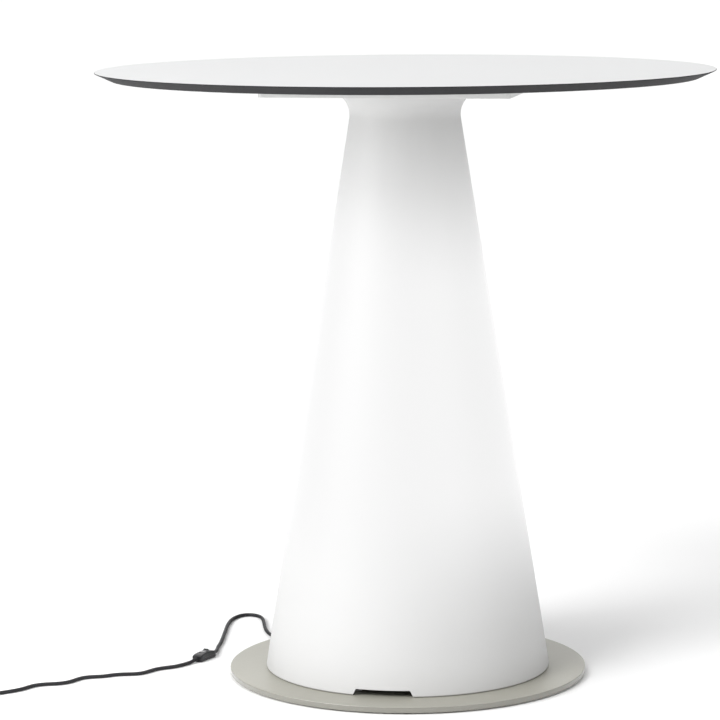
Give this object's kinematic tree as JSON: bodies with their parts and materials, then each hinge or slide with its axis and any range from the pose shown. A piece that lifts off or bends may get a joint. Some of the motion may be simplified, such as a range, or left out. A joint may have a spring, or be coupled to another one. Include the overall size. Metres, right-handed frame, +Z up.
{
  "type": "light up led table",
  "caption": "Round table with a thin white top on a lit, translucent conical column, a flat steel base disc and a black cord with an inline rocker switch.",
  "frame": {"origin": "on the floor under the column's axis, at the bottom centre of the table without its cord", "axes": "+Z up, out of the table top; -Y towards the front cord notch; the square plate's sides lie along X and Y"},
  "size_m": [0.9458, 0.75, 0.745],
  "materials": {
    "white_laminate": "fine matt white faces on a black core",
    "white_steel": "white powder coat",
    "lit_polyethylene": "moulded, satin, lit from inside",
    "warm_grey_paint": "fine warm grey powder coat",
    "black_plastic": "moulded, matt",
    "cord_black": "smooth, satin",
    "rocker_black": "gloss",
    "white_plastic": "moulded, matt",
    "zinc_steel": "zinc plated",
    "cast_aluminium": "as cast",
    "aluminium_profile": "drawn, anodised",
    "brass": "turned",
    "led_board": "white board with pale yellow LEDs",
    "nickel": "nickel plated"
  },
  "bodies": {
    "root": {"table_top": "white_laminate", "threaded_insert_1": "brass", "threaded_insert_2": "brass", "threaded_insert_3": "brass", "threaded_insert_4": "brass", "top_screw_1": "zinc_steel", "top_screw_2": "zinc_steel", "top_screw_3": "zinc_steel", "top_screw_4": "zinc_steel", "top_plate": "white_steel", "hub_screw_1": "zinc_steel", "hub_screw_2": "zinc_steel", "hub_screw_3": "zinc_steel", "neck_hub": "cast_aluminium", "column": "lit_polyethylene", "base_plate": "warm_grey_paint", "glide_pad_1": "black_plastic", "glide_pad_2": "black_plastic", "glide_pad_3": "black_plastic", "glide_pad_4": "black_plastic", "foot_screw_1": "zinc_steel", "foot_screw_2": "zinc_steel", "foot_screw_3": "zinc_steel", "tie_rod": "zinc_steel", "base_bolt": "zinc_steel", "lock_washer": "zinc_steel", "lock_nut": "zinc_steel", "led_post": "aluminium_profile", "post_collar_lower": "black_plastic", "post_collar_upper": "black_plastic", "led_board_right": "led_board", "led_board_back": "led_board", "led_board_left": "led_board", "led_board_front": "led_board", "led_driver": "white_plastic", "driver_screw_1": "zinc_steel", "driver_screw_2": "zinc_steel", "cord_clamp": "black_plastic", "clamp_screw_1": "zinc_steel", "clamp_screw_2": "zinc_steel", "cord_strain_relief": "black_plastic", "mains_lead_inside": "cord_black", "led_lead": "white_plastic", "cord_table_to_switch": "cord_black", "switch_base": "black_plastic", "switch_cover": "black_plastic", "switch_pin": "zinc_steel", "switch_terminal_1": "brass", "switch_terminal_2": "brass", "switch_contact_leaf": "brass", "cord_switch_to_coil": "cord_black", "cord_coil": "cord_black", "plug_strain_relief": "black_plastic", "plug_body": "black_plastic", "plug_pin_1": "nickel", "plug_pin_2": "nickel"},
    "rocker": {"switch_rocker": "rocker_black"}
  },
  "joints": [
    {"name": "rocker_tilt", "type": "hinge", "parent": "root", "child": "rocker", "pos_m": [-0.2634, 0.0132, 0.0077], "axis": [-0.9511, 0.309, 0], "range_deg": [0, 19]}
  ]
}
